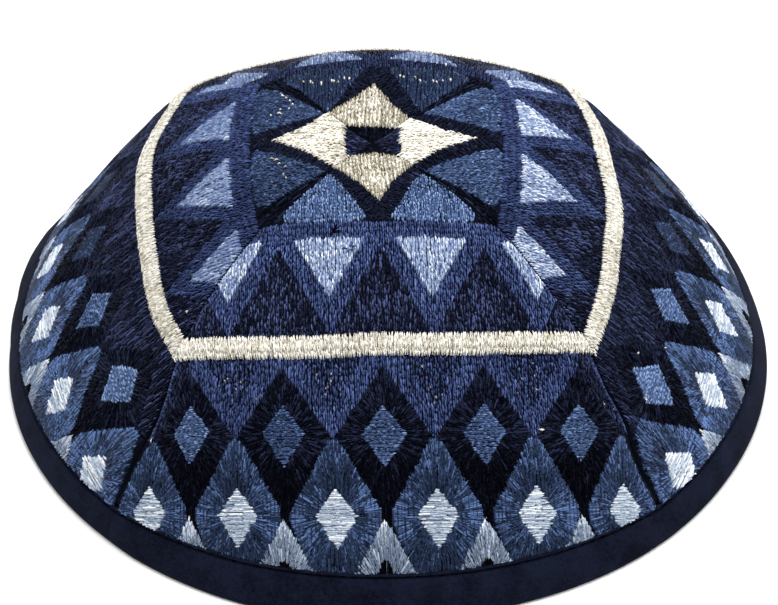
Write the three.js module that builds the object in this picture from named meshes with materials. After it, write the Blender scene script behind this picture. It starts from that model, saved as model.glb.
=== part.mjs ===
import * as THREE from 'three';

// Skullcap sewn from four embroidered panels, with a folded cloth binding round its rim.
// Millimetres, +Z up. The origin is the rim's centre, on the surface that the cap rests on.
// The front panel faces -Y. Distances run over the cap from the centre of its crown.
// A share across a panel runs from -1 at its left seam to 1 at its right seam, seen from outside.

// Driving dimensions of the whole cap
const rimDiameter = 170;      // across the binding, where it is widest
const capHeight = 62.3;       // from the resting surface to the top of the crown
const crownLeanX = -1.9;      // the crown's centre sits this far from the rim's centre
const crownLeanY = -0.7;
const pieceGap = 0.3;         // between pieces that lie on each other or side by side

// Panels
const panelWall = 2;          // base cloth, backing and embroidery together
const seamStand = 2.4;        // the most that a seam stands out past its panels' middles
const seamDepth = 1.4;        // deepest part of the crease along a seam
const seamReach = 5;          // the crease starts this far from the seam

// Raised border stitched straight across each panel
const borderDistance = 55;    // crown centre to the border's centre line, down a panel's middle
const borderBow = 12;         // how much further out that line is where it reaches the seams
const borderWidth = 5;
const borderRise = 0.5;       // above the panel's surface
const borderRecess = 0.6;     // below it
const cornerStand = 1.2;      // the cap stands out this much more where borders meet at a seam
const cornerReach = 14;

// Star petals stitched round the crown
const petalStart = 4.4;       // crown centre to the petal's straight inner edge
const petalShoulder = 8.8;    // where the petal stops filling the whole panel
const petalTip = 20.7;
const petalThickness = 0.5;

// Rim binding
const bindingWidth = 8.3;     // its outer leg, at a panel's middle
const bindingNarrowing = 1.3; // how much narrower the leg is at a seam
const bindingCloth = 0.7;     // thickness of each leg
const bindingFold = 1.2;      // depth of the fold below the panels' edge
const stepLength = 0.4;       // length over which a panel steps down beside a border or binding

// How finely the curved walls are divided
const columns = 18;
const crownRows = 9;
const skirtRows = 8;
const petalRows = 6;
const petalColumns = 8;

// Panel middle from the crown to the rim, as shares of the rim's radius and of the cap's height
const profileTable = [
  { out: 0.0, up: 0.997 },
  { out: 0.165, up: 1.0 },
  { out: 0.282, up: 0.996 },
  { out: 0.365, up: 0.972 },
  { out: 0.447, up: 0.922 },
  { out: 0.541, up: 0.835 },
  { out: 0.635, up: 0.734 },
  { out: 0.718, up: 0.62 },
  { out: 0.788, up: 0.504 },
  { out: 0.847, up: 0.402 },
  { out: 0.9, up: 0.294 },
  { out: 0.947, up: 0.189 },
  { out: 0.982, up: 0.095 },
  { out: 1.0, up: 0.024 },
];

// Along a panel, as shares of its length: how far the seams stand out and how deep their crease is,
// as shares of seamStand and seamDepth
const seamTable = [
  { at: 0.0, stand: -0.15, crease: 0.3 },
  { at: 0.22, stand: -0.15, crease: 0.4 },
  { at: 0.43, stand: 0.62, crease: 0.5 },
  { at: 0.62, stand: 1.0, crease: 0.75 },
  { at: 0.78, stand: 0.97, crease: 1.0 },
  { at: 0.86, stand: 0.6, crease: 0.85 },
  { at: 0.92, stand: 0.4, crease: 0.0 },
  { at: 1.0, stand: 0.0, crease: 0.0 },
];

const panelNames = ['front', 'right', 'back', 'left'];
const halfPanelAngle = Math.PI / panelNames.length;
const rimRadius = rimDiameter / 2;
const rowAngle = THREE.MathUtils.degToRad(42);

const profile = new THREE.SplineCurve(
  profileTable.map((row) => new THREE.Vector2(row.out * rimRadius, row.up * capHeight)),
);
const panelLength = profile.getLength();
const rimHeight = profile.getPoint(1).y;

// Reads a column of a table between its rows, on a smooth curve through them
function readTable(table, column, at) {
  const last = table.length - 1;
  let low = 0;
  while (low < last - 1 && at > table[low + 1].at) low += 1;
  const slope = (index) => {
    const before = table[Math.max(index - 1, 0)];
    const after = table[Math.min(index + 1, last)];
    return (after[column] - before[column]) / (after.at - before.at);
  };
  const span = table[low + 1].at - table[low].at;
  const t = THREE.MathUtils.clamp((at - table[low].at) / span, 0, 1);
  const start = table[low][column];
  const end = table[low + 1][column];
  const startPart = (1 + 2 * t) * (1 - t) * (1 - t) * start + t * (1 - t) * (1 - t) * span * slope(low);
  const endPart = t * t * (3 - 2 * t) * end - t * t * (1 - t) * span * slope(low + 1);
  return startPart + endPart;
}

// Distance in millimetres from a place on a panel to its nearer seam
function toSeam(distance, share) {
  const radius = profile.getPointAt(THREE.MathUtils.clamp(distance / panelLength, 0, 1)).x;
  return radius * halfPanelAngle * (1 - Math.abs(share));
}

// How far the cap stands out from its round profile
function stand(distance, share) {
  const overall = seamStand * readTable(seamTable, 'stand', distance / panelLength);
  const along = (distance - borderDistance - borderBow) / cornerReach;
  const across = toSeam(distance, share) / cornerReach;
  return overall * (share * share - 1 / 3) + cornerStand * Math.exp(-along * along - across * across);
}

// How far a panel's surface sinks towards its seam
function crease(distance, share) {
  const near = Math.max(0, 1 - toSeam(distance, share) / seamReach);
  return seamDepth * readTable(seamTable, 'crease', distance / panelLength) * near * near;
}

// A point on the cap, moved out along the surface's normal by an offset
function capPoint(panel, distance, share, offset) {
  const at = THREE.MathUtils.clamp(distance / panelLength, 0, 1);
  const base = profile.getPointAt(at);
  const tangent = profile.getTangentAt(at);
  const out = stand(distance, share) + offset;
  return placePoint(panel, share, base.x - tangent.y * out, base.y + tangent.x * out);
}

// A point at a radius and a height, turned to its panel and moved with the leaning crown
function placePoint(panel, share, radius, height) {
  const angle = (2 * panel + share) * halfPanelAngle;
  const climb = THREE.MathUtils.clamp((height - rimHeight) / (capHeight - rimHeight), 0, 1);
  const lean = Math.sin(climb * Math.PI / 2);
  return new THREE.Vector3(
    radius * Math.sin(angle) + crownLeanX * lean,
    -radius * Math.cos(angle) + crownLeanY * lean,
    height,
  );
}

// Rows are straight across a panel down to its border, so they reach its seams further out.
// Below the border they turn step by step into the round edge of the binding.
function rowBow(distance) {
  if (distance < borderDistance) return borderBow * Math.sin(distance / borderDistance * Math.PI / 2);
  const hem = panelLength - bindingWidth;
  const gone = THREE.MathUtils.clamp((distance - borderDistance) / (hem - borderDistance), 0, 1);
  return borderBow + (bindingNarrowing - borderBow) * gone;
}

function rowDistance(distance, share) {
  const across = (1 / Math.cos(share * rowAngle) - 1) / (1 / Math.cos(rowAngle) - 1);
  const fade = THREE.MathUtils.clamp((panelLength - distance) / bindingWidth, 0, 1);
  return distance + rowBow(distance) * across * fade;
}

// The share across a panel that keeps half a gap to the seam, at the end of a row
function edgeShare(distance) {
  const radius = profile.getPointAt(Math.min(rowDistance(distance, 1) / panelLength, 1)).x;
  return 1 - Math.asin(Math.min(pieceGap / 2 / radius, Math.SQRT1_2)) / halfPanelAngle;
}

// Shares across a panel, closer together towards its seams
function columnShares(count) {
  const shares = [];
  for (let index = 0; index <= count; index += 1) {
    const even = 2 * index / count - 1;
    shares.push(0.15 * even + 0.85 * Math.sin(even * Math.PI / 2));
  }
  return shares;
}

// Collects triangles and leaves out those that have shrunk to a line
class Skin {
  constructor() {
    this.positions = [];
  }

  triangle(a, b, c) {
    const tiny = 1e-4;
    if (a.distanceTo(b) < tiny || b.distanceTo(c) < tiny || c.distanceTo(a) < tiny) return;
    this.positions.push(...a.toArray(), ...b.toArray(), ...c.toArray());
  }

  quad(a, b, c, d) {
    this.triangle(a, b, c);
    this.triangle(a, c, d);
  }

  geometry() {
    const geometry = new THREE.BufferGeometry();
    geometry.setAttribute('position', new THREE.Float32BufferAttribute(this.positions, 3));
    geometry.computeVertexNormals();
    return geometry;
  }
}

// A closed wall between an outer and an inner grid of points, with rows from the crown down
function wallGeometry(outer, inner) {
  const skin = new Skin();
  const lastRow = outer.length - 1;
  const lastColumn = outer[0].length - 1;
  for (let row = 0; row < lastRow; row += 1) {
    for (let column = 0; column < lastColumn; column += 1) {
      const next = column + 1;
      skin.quad(outer[row][column], outer[row + 1][column], outer[row + 1][next], outer[row][next]);
      skin.quad(inner[row][next], inner[row + 1][next], inner[row + 1][column], inner[row][column]);
    }
    skin.quad(outer[row + 1][0], outer[row][0], inner[row][0], inner[row + 1][0]);
    skin.quad(outer[row][lastColumn], outer[row + 1][lastColumn],
      inner[row + 1][lastColumn], inner[row][lastColumn]);
  }
  for (let column = 0; column < lastColumn; column += 1) {
    const next = column + 1;
    skin.quad(outer[0][column], outer[0][next], inner[0][next], inner[0][column]);
    skin.quad(outer[lastRow][next], outer[lastRow][column], inner[lastRow][column], inner[lastRow][next]);
  }
  return skin.geometry();
}

// A closed ring through sections that each run round the same number of points
function ringGeometry(sections) {
  const skin = new Skin();
  sections.forEach((section, index) => {
    const next = sections[(index + 1) % sections.length];
    section.forEach((point, step) => {
      const after = (step + 1) % section.length;
      skin.quad(point, section[after], next[after], next[step]);
    });
  });
  return skin.geometry();
}

// Evenly spaced rows from one distance to another, leaving out the first
function evenRows(from, to, count) {
  const rows = [];
  for (let index = 1; index <= count; index += 1) {
    rows.push({ distance: from + (to - from) * index / count, sink: 0 });
  }
  return rows;
}

// Rows of a panel: the crown, the recess under the border, the skirt and the hem in the binding
function panelRowList() {
  const tip = pieceGap / 2 / Math.sin(halfPanelAngle);
  const borderTop = borderDistance - borderWidth / 2 - pieceGap;
  const borderBottom = borderDistance + borderWidth / 2 + pieceGap;
  const hemTop = panelLength - bindingWidth - pieceGap;
  const hemEnd = panelLength - bindingFold;
  const hemSink = bindingCloth + pieceGap;
  return [
    { distance: tip, sink: 0 },
    ...evenRows(tip, borderTop - stepLength, crownRows),
    { distance: borderTop, sink: borderRecess },
    { distance: borderDistance, sink: borderRecess },
    { distance: borderBottom, sink: borderRecess },
    { distance: borderBottom + stepLength, sink: 0 },
    ...evenRows(borderBottom + stepLength, hemTop - stepLength, skirtRows),
    { distance: hemTop, sink: hemSink },
    { distance: (hemTop + hemEnd) / 2, sink: hemSink },
    { distance: hemEnd, sink: hemSink },
  ];
}

function panelGeometry(panel) {
  const outer = [];
  const inner = [];
  const shares = columnShares(columns);
  panelRowList().forEach((row, index) => {
    const edge = index === 0 ? 0 : edgeShare(row.distance);
    const line = shares.map((share) => {
      const place = share * edge;
      const distance = index === 0 ? row.distance : rowDistance(row.distance, place);
      return { distance, place, sunk: crease(distance, place) };
    });
    outer.push(line.map(({ distance, place, sunk }) => capPoint(panel, distance, place, -sunk - row.sink)));
    inner.push(line.map(({ distance, place, sunk }) => capPoint(panel, distance, place, -sunk - panelWall)));
  });
  return wallGeometry(outer, inner);
}

// The border is a low rounded bar that lies in the panel's recess
function borderGeometry(panel) {
  const section = [
    { across: -0.5, rise: 0.1 },
    { across: -0.3, rise: 0.9 },
    { across: 0.3, rise: 0.9 },
    { across: 0.5, rise: 0.1 },
  ];
  const outer = [];
  const inner = [];
  const shares = columnShares(columns);
  section.forEach((step) => {
    const row = borderDistance + step.across * borderWidth;
    const edge = edgeShare(row);
    const line = shares.map((share) => {
      const place = share * edge;
      const distance = rowDistance(row, place);
      return { distance, place, sunk: crease(distance, place) };
    });
    const top = step.rise * borderRise;
    const bottom = pieceGap - borderRecess;
    outer.push(line.map(({ distance, place, sunk }) => capPoint(panel, distance, place, top - sunk)));
    inner.push(line.map(({ distance, place, sunk }) => capPoint(panel, distance, place, bottom - sunk)));
  });
  return wallGeometry(outer, inner);
}

// A petal fills the panel down to its shoulders and then narrows evenly to its tip
function petalGeometry(panel) {
  const outer = [];
  const inner = [];
  for (let index = 0; index <= petalRows; index += 1) {
    const row = petalStart + (petalTip - petalStart) * index / petalRows;
    const half = petalShoulder * (petalTip - row) / (petalTip - petalShoulder);
    const widest = Math.min(edgeShare(row), Math.atan2(half, row) / halfPanelAngle);
    const line = [];
    for (let step = 0; step <= petalColumns; step += 1) {
      const place = widest * (2 * step / petalColumns - 1);
      const distance = rowDistance(row, place);
      line.push({ distance, place, sunk: crease(distance, place) });
    }
    const top = pieceGap + petalThickness;
    outer.push(line.map(({ distance, place, sunk }) => capPoint(panel, distance, place, top - sunk)));
    inner.push(line.map(({ distance, place, sunk }) => capPoint(panel, distance, place, pieceGap - sunk)));
  }
  return wallGeometry(outer, inner);
}

// One section of the binding: down its outer leg, round its flat foot, up its inner leg and back
function bindingSection(panel, share) {
  const top = rowDistance(panelLength - bindingWidth, share);
  const hemThickness = bindingCloth + pieceGap + panelWall;
  const foldInside = panelLength - bindingFold + pieceGap;
  const down = (part) => top + (panelLength - top) * part;
  const foot = (inward, height) => placePoint(panel, share, rimRadius - inward * hemThickness,
    height * rimHeight);
  return [
    capPoint(panel, down(0), share, -bindingCloth * 0.35),
    capPoint(panel, down(0.08), share, 0),
    capPoint(panel, down(0.5), share, 0),
    capPoint(panel, down(1), share, 0),
    foot(0.05, 0.35),
    foot(0.2, 0),
    foot(0.8, 0),
    capPoint(panel, down(1), share, -hemThickness),
    capPoint(panel, down(0.5), share, -hemThickness),
    capPoint(panel, down(0), share, -hemThickness),
    capPoint(panel, down(0), share, bindingCloth - hemThickness),
    capPoint(panel, foldInside, share, bindingCloth - hemThickness),
    capPoint(panel, foldInside, share, -bindingCloth),
    capPoint(panel, down(0), share, -bindingCloth),
  ];
}

function bindingGeometry() {
  const sections = [];
  panelNames.forEach((name, panel) => {
    columnShares(columns).slice(1).forEach((share) => sections.push(bindingSection(panel, share)));
  });
  return ringGeometry(sections);
}

function clothMaterial(colour, roughness) {
  return new THREE.MeshStandardMaterial({ color: colour, roughness, metalness: 0 });
}

const panelMaterial = clothMaterial(0x2b3a6e, 0.6);
const threadMaterial = clothMaterial(0xd8cfbc, 0.45);
const bindingMaterial = clothMaterial(0x161b37, 0.9);

function addPiece(group, name, geometry, material) {
  const mesh = new THREE.Mesh(geometry, material);
  mesh.name = name;
  group.add(mesh);
}

const cap = new THREE.Group();
panelNames.forEach((name, panel) => {
  addPiece(cap, `panel_${name}`, panelGeometry(panel), panelMaterial);
  addPiece(cap, `border_${name}`, borderGeometry(panel), threadMaterial);
  addPiece(cap, `star_petal_${name}`, petalGeometry(panel), threadMaterial);
});
addPiece(cap, 'rim_binding', bindingGeometry(), bindingMaterial);

export default cap;
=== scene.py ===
import math

import bpy
import numpy as np
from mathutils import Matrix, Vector


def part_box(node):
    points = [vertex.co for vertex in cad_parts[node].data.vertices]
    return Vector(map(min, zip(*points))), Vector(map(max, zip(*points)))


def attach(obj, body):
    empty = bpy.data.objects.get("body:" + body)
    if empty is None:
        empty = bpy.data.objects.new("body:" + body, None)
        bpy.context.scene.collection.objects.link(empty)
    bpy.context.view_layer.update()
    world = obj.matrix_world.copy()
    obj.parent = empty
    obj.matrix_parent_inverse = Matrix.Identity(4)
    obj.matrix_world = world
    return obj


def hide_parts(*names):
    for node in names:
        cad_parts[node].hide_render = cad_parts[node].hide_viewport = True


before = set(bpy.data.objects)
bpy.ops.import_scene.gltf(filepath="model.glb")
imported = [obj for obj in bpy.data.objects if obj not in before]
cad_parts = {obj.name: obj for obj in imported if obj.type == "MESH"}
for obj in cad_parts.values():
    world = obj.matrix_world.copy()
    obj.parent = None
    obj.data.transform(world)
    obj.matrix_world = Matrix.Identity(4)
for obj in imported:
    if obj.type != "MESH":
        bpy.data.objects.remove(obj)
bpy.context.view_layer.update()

# Lengths are in millimetres, and become metres where a mesh is made.
# A panel's flat pattern has x across and y down from the crown's centre.
# On the cap, "distance" runs over the cloth from the crown's centre, and "share" runs across a
# panel from -1 at its left seam to 1 at its right seam.
MM = 0.001
PANELS = ["front", "right", "back", "left"]
HALF_PANEL = math.pi / len(PANELS)

# Form of the cap, from the frame
RIM_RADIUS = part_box("rim_binding")[1].x / MM
CAP_HEIGHT = 62.3
CROWN_LEAN = (-1.9, -0.7)
PANEL_WALL = 2.0
SEAM_GAP = 0.1
SEAM_STAND = 2.4
SEAM_DEPTH = 1.4
SEAM_REACH = 5.0
CORNER_STAND = 1.2
CORNER_REACH = 14.0
CORNER_BELOW = 12
BINDING_WIDTH = 8.3
BINDING_WIDENING = 1.4
BINDING_NARROWING = 1.3
BINDING_BOW = 0.733
BINDING_CLOTH = 0.7
PIECE_GAP = 0.3

# Panel middle from the crown to the rim, as shares of the rim's radius and the cap's height
PROFILE_OUT = [0, 0.165, 0.282, 0.365, 0.447, 0.541, 0.635, 0.718, 0.788, 0.847, 0.9, 0.947, 0.982, 1]
PROFILE_UP = [0.997, 1, 0.996, 0.972, 0.922, 0.835, 0.734, 0.62, 0.504, 0.402, 0.294, 0.189, 0.095, 0.024]
# Along a panel, as shares of its length: how far seams stand out, and how deep they are creased
SEAM_AT = [0, 0.22, 0.43, 0.62, 0.78, 0.86, 0.92, 1]
SEAM_STANDS = [-0.15, -0.15, 0.62, 1, 0.97, 0.6, 0.4, 0]
SEAM_CREASES = [0.3, 0.4, 0.5, 0.75, 1, 0.85, 0, 0]
# How much a panel's flat pattern bends as it is laid on the cap, over its length
BEND_AT = [30, 55, 75, 100]
BEND = [0.84, 0.77, 0.72, 0.75]

# How far hand sewing has moved things. The crown's centre has moved sideways and forward.
# Each seam strays round the cap by a table over the distance from the crown.
CROWN_DRIFT = (-1.3, -0.4)
CROWN_DRIFT_REACH = 18.0
SEAM_DRIFT_REACH = 10.0
SEAM_DRIFT_AT = [55, 69, 77, 83, 87, 90, 96, 106, 112]
SEAM_DRIFT = {
    "front_right": [0, -0.4, -0.8, -0.2, -0.2, -1.0, -1.5, -1.3, 0],
    "right_back": [0, 0.3, 0.6, 0.8, 0.5, 0.2, -0.4, -0.4, 0],
    "back_left": [0, -0.4, -0.8, -1.0, -0.6, 0.2, 0.5, 0.4, 0],
    "left_front": [0, 1.3, 2.35, 2.6, 2.2, 1.5, 0.5, 0.4, 0],
}
# Degrees round the cap from the front over its right, and how far the soft rim has spread there
RIM_SPREAD_HEIGHT = 20.0
RIM_SPREAD_AT = [
    0, 20, 31, 39, 45, 60, 98, 103, 107, 112, 117, 123, 135, 150, 170, 190, 210,
    225, 236, 241, 247, 253, 257, 262, 268, 275, 285, 300, 314, 320, 328, 338, 350, 360,
]
RIM_SPREAD = [
    0, 0.2, 0.35, 0.45, 0.4, 0, 0, 0.2, 0.6, 1.2, 1.9, 2.5, 2.6, 1.5, 0, 0, 2.0,
    4.1, 4.5, 4.5, 3.6, 2.2, 1.0, 0.4, -0.5, -0.5, -0.3, 0, 0.3, 0.75, 0.9, 1.1, 0.5, 0,
]
# Above the rim: how much of the sides' tuck the cloth has there
SIDE_TUCK = 1.5
TUCK_AT = [0, BINDING_WIDTH, 14, 22]
TUCK = [0, 1, 0.45, 0]
# Across each panel: how far its border strays down from a straight line
BORDER_DRIFT_AT = [-44, -36, -28, -20, -12, -4, 4, 12, 20, 28, 36, 44]
BORDER_DRIFT = {
    "front": [-0.7, -0.1, 0.2, 0.1, 0.3, -0.1, -0.4, -0.2, -0.1, -0.6, -0.85, -0.9],
    "right": [-0.4, 0.2, 0.4, 0.2, 0.5, 0.2, -0.9, -1.2, -0.9, -1.1, -1.8, -1.5],
    "back": [-0.4, -0.1, 0.2, 0.3, 0.4, 0.1, -0.1, -0.2, -0.1, 0.1, 0.0, -0.2],
    "left": [-1.8, -2.2, -0.4, 1.2, 1.2, 0.8, 0.3, 0.0, 0.3, 0.5, 0.2, -0.9],
}
# Middles of each panel's light triangles
LIGHT_MIDDLES = {
    "front": [-33.4, -10.9, 11.0, 34.4],
    "right": [-32.6, -10.8, 10.8, 32.4],
    "back": [-32.2, -10.6, 10.9, 32.6],
    "left": [-34.6, -10.9, 10.7, 32.6],
}

# Flat pattern
DOWN = (0, 1)
LEVEL = (1, 0)
PITCH = 21.58
HALF = PITCH / 2
TRIANGLE_HALF = 7.75
BORDER_MIDDLE = 55.0
BORDER_WIDTH = 5.0
BORDER_TOP = BORDER_MIDDLE - BORDER_WIDTH / 2
BORDER_END = BORDER_MIDDLE + BORDER_WIDTH / 2
DIAMOND_TOP = 59.6
DIAMOND_SIDE = 74.8
DIAMOND_END = 92.2
SKIRT_END = 2 * DIAMOND_END - DIAMOND_SIDE
# Top, side and bottom of a diamond, and half its width
SMALL_DIAMOND = (67.6, 73.8, 81.0, 4.7)
PALE_DIAMOND = (85.3, 91.4, 98.35, 4.37)

# A petal's tip, its shoulders on the two seams, and the star's dark core from one seam to the other
STAR = {
    "front": {"tip": (0.2, 20.9), "left": 8.7, "right": 8.0, "core": [(-5.0, 5.0), (0, 4.4), (5.1, 5.1)]},
    "right": {
        "tip": (0.2, 21.2), "left": 8.0, "right": 8.0,
        "core": [(-5.1, 5.1), (-4.3, 6.5), (0, 6.2), (4.8, 6.4), (5.4, 5.4)],
    },
    "back": {"tip": (0.4, 19.6), "left": 8.0, "right": 10.2, "core": [(-5.4, 5.4), (0, 5.2), (6.6, 6.6)]},
    "left": {
        "tip": (0.2, 22.2), "left": 10.2, "right": 8.7,
        "core": [(-6.6, 6.6), (0, 6.2), (5.1, 6.1), (5.0, 5.0)],
    },
}
# How light each motif of a panel looks, from its thread's painted shade at 0 to its painted highlight at
# 1. Most differences between panels are painted light and shade.
MOTIFS = ["petal", "crown", "upper", "frame", "dark", "hanging", "denim", "pale"]
PAINTED_LIGHT_TINTS = {
    "front": [0.0, 0.68, 0.5, 0.54, 0.48, 0.5, 0.47, 0.55],
    "right": [0.62, 0.36, 0.57, 0.43, 0.43, 0.5, 0.6, 0.74],
    "back": [0.0, 0.0, 0.12, 0.18, 0.22, 0.5, 0.47, 0.55],
    "left": [0.38, 0.2, 0.13, 0.4, 0.41, 0.52, 0.66, 0.68],
}
# Where each panel's frame starts and ends, and where its light triangles end
FRAME = {
    "front": (27.0, 31.1, 44.75),
    "right": (27.2, 31.4, 44.9),
    "back": (27.0, 31.1, 44.75),
    "left": (27.8, 32.5, 46.2),
}
# How light each small diamond looks, from a panel's left to its right
SMALL_TINT = {
    "front": [0.5, 0.62, 0.3, 0.46, 0.46, 0.5, 0.5],
    "right": [0.5, 0.78, 0.62, 0.1, 0.12, 0.4, 0.4],
    "back": [0.4] * 7,
    "left": [0.4, 0.3, 0.0, 0.08, 0.56, 0.76, 0.5],
}
# Arcs of dots in the crown triangles: panel, thread, middle, radius, first and last angle, how many, tint
DOT_ARCS = [
    ("front", "denim", -10.5, 24.5, 7.0, 35, 145, 22, 0.2),
    ("front", "denim", 12.0, 23.0, 7.0, 40, 130, 18, 0.2),
    ("back", "cream", 11.3, 30.0, 9.0, 55, 125, 10, 0.3),
    ("back", "cream", -11.3, 30.0, 9.0, 52, 125, 9, 0.3),
    ("left", "cream", 10.5, 24.6, 4.4, 155, 10, 8, 0.1),
    ("left", "cream", -13.5, 24.0, 4.2, 150, 15, 8, 0.6),
]
# How far the front's pale feet stray sideways, and single small diamonds stray right, down and in size
FRONT_FOOT_SHIFT = -0.7
SMALL_SHIFT = {
    ("right", -4): (-0.5, 0.9, 0.5),
    ("left", 4): (-0.2, -0.9, 0.0),
    ("front", -4): (-0.4, -0.5, 0.2),
}
# Stray pale stitches: panel, start and run
STRAYS = [
    ("front", 33.6, 73.4, 1.3, 0.1),
    ("front", -55.0, 73.7, 0.0, 1.6),
    ("right", -33.2, 75.0, 0.4, 0.5),
    ("right", -39.8, 67.8, 0.4, 0.5),
    ("right", -47.5, 73.5, 0.5, 0.6),
    ("right", -48.4, 74.6, 0.4, -0.6),
    ("left", 39.2, 48.4, 0.4, 0.5),
]

THREAD = 0.47
HEM_BELOW = 1.15
SHORTEST_STITCH = 0.35
LONG_STITCH = 2.7
# Where a thread's rings of corners stand along it
SHORT_RINGS = (0, 0.5, 1)
LONG_RINGS = (0, 0.15, 0.85, 1)


def smooth(at, values, x, ends):
    """A smooth curve at x through values that stand at the places in at, with eased ends."""
    at = np.asarray(at, float)
    values = np.asarray(values, float)
    slopes = np.gradient(values) * ends
    slopes[1:-1] = (values[2:] - values[:-2]) / (at[2:] - at[:-2])
    slopes[0] /= at[1] - at[0]
    slopes[-1] /= at[-1] - at[-2]
    i = np.clip(np.searchsorted(at, x, side="right") - 1, 0, len(at) - 2)
    span = at[i + 1] - at[i]
    f = (x - at[i]) / span
    start, end = values[i], values[i + 1]
    leave, arrive = slopes[i] * span, slopes[i + 1] * span
    cubic = 2 * start - 2 * end + leave + arrive
    square = -3 * start + 3 * end - 2 * leave - arrive
    return ((cubic * f + square) * f + leave) * f + start


def profile(values):
    """A profile's table as a dense smooth curve from the crown to the rim."""
    last = len(values) - 1
    return smooth(range(last + 1), values, np.linspace(0, last, last * 160 + 1), 0.5)


RADII = profile(PROFILE_OUT) * RIM_RADIUS
HEIGHTS = profile(PROFILE_UP) * CAP_HEIGHT
ARC = np.concatenate([[0], np.cumsum(np.hypot(np.diff(RADII), np.diff(HEIGHTS)))])
PANEL_LENGTH = ARC[-1]
RIM_HEIGHT = HEIGHTS[-1]
SLOPE_OUT = np.gradient(RADII, ARC)
SLOPE_UP = np.gradient(HEIGHTS, ARC)


def table_curve(values):
    """A table over SEAM_AT as a dense smooth curve over the panel's length."""
    x = np.linspace(0, 1, 600)
    return x * PANEL_LENGTH, smooth(SEAM_AT, values, x, 1)


STAND_CURVE = table_curve(SEAM_STANDS)
CREASE_CURVE = table_curve(SEAM_CREASES)


def to_seam(distance, share):
    """Millimetres over the cloth to the nearer seam."""
    return np.interp(distance, ARC, RADII) * HALF_PANEL * (1 - np.abs(share))


def stand(distance, share):
    """How far the cap stands out from its round profile."""
    overall = SEAM_STAND * np.interp(distance, *STAND_CURVE)
    along = (distance - BORDER_MIDDLE - CORNER_BELOW) / CORNER_REACH
    across = to_seam(distance, share) / CORNER_REACH
    return overall * (share * share - 1 / 3) + CORNER_STAND * np.exp(-along * along - across * across)


def crease(distance, share):
    """How far a panel sinks towards its seam."""
    near = np.clip(1 - to_seam(distance, share) / SEAM_REACH, 0, 1)
    return SEAM_DEPTH * np.interp(distance, *CREASE_CURVE) * near * near


def seam_drift(panel, distance, share):
    """How far the cloth strays round the cap, which is most at its seams."""
    panel = np.asarray(panel, int)
    width = np.interp(distance, ARC, RADII) * HALF_PANEL
    amounts = [np.interp(distance, SEAM_DRIFT_AT, row) for row in SEAM_DRIFT.values()]
    right = np.exp(-((width * (1 - share) / SEAM_DRIFT_REACH) ** 2))
    left = np.exp(-((width * (1 + share) / SEAM_DRIFT_REACH) ** 2))
    return np.choose(panel, amounts) * right + np.choose(panel - 1, amounts, mode="wrap") * left


def tuck(panel, distance, share):
    """How far the cloth is drawn in above the binding, round the cap's sides and back."""
    behind = np.clip((0.15 - np.cos((2 * panel + share) * HALF_PANEL)) / 0.43, 0, 1)
    return SIDE_TUCK * behind * np.interp(PANEL_LENGTH - distance, TUCK_AT, TUCK)


def place(panel, share, radius, height, drift=0.0):
    """A radius and a height turned to a panel, and moved with the spread rim and the leaning crown."""
    angle = (2 * panel + share) * HALF_PANEL + drift / np.maximum(radius, 20.0)
    spread = np.interp(np.degrees(np.mod(angle, 2 * math.pi)), RIM_SPREAD_AT, RIM_SPREAD)
    radius = radius + spread * np.clip(1 - height / RIM_SPREAD_HEIGHT, 0, 1)
    climb = np.clip((height - RIM_HEIGHT) / (CAP_HEIGHT - RIM_HEIGHT), 0, 1)
    lean = np.sin(climb * math.pi / 2)
    near = np.exp(-((radius / CROWN_DRIFT_REACH) ** 2))
    x = radius * np.sin(angle) + CROWN_LEAN[0] * lean + CROWN_DRIFT[0] * near
    y = -radius * np.cos(angle) + CROWN_LEAN[1] * lean + CROWN_DRIFT[1] * near
    return np.stack(np.broadcast_arrays(x, y, height), -1)


def cap_point(panel, distance, share, offset):
    """A point on the cap, moved out along the cloth's normal."""
    distance = np.clip(distance, 0, PANEL_LENGTH)
    out = stand(distance, share) + offset
    radius = np.interp(distance, ARC, RADII) - np.interp(distance, ARC, SLOPE_UP) * out
    height = np.interp(distance, ARC, HEIGHTS) + np.interp(distance, ARC, SLOPE_OUT) * out
    radius = radius - tuck(panel, distance, share)
    return place(panel, share, radius, height, seam_drift(panel, distance, share))


def cap_normal(panel, distance, share):
    """The cloth's outward direction, without its creases."""
    angle = (2 * panel + share) * HALF_PANEL
    out = -np.interp(distance, ARC, SLOPE_UP)
    up = np.interp(distance, ARC, SLOPE_OUT)
    return np.stack([out * np.sin(angle), -out * np.cos(angle), up], -1)


def wrap(x, y):
    """Where a point of the flat pattern lies on the cap, as distance and share."""
    y = np.maximum(y, 1e-3)
    angle = np.arctan2(x, y)
    bend = np.interp(y, BEND_AT, BEND)
    distance = y * (1 + bend * (1 / np.cos(angle) - 1))
    radius = np.maximum(np.interp(distance, ARC, RADII), 1e-3)
    return distance, angle * distance / radius / HALF_PANEL


def unwrap(distance, share):
    """The flat point that wrap would send to a distance and a share."""
    angle = share * HALF_PANEL * np.interp(distance, ARC, RADII) / distance
    y = distance * np.cos(angle)
    for _ in range(6):
        bend = np.interp(y, BEND_AT, BEND)
        y = distance / (1 + bend * (1 / np.cos(angle) - 1))
    return np.stack([y * np.tan(angle), y], -1)


def hem_distance(panel, share):
    """Where the binding's upper edge crosses a panel. The binding is widest at the front."""
    bow = (1 / np.cos(share * BINDING_BOW) - 1) / (1 / math.cos(BINDING_BOW) - 1)
    wider = BINDING_WIDENING * np.clip(np.cos((2 * panel + share) * HALF_PANEL), 0, 1) ** 1.5
    return PANEL_LENGTH - BINDING_WIDTH - wider + BINDING_NARROWING * bow


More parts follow.
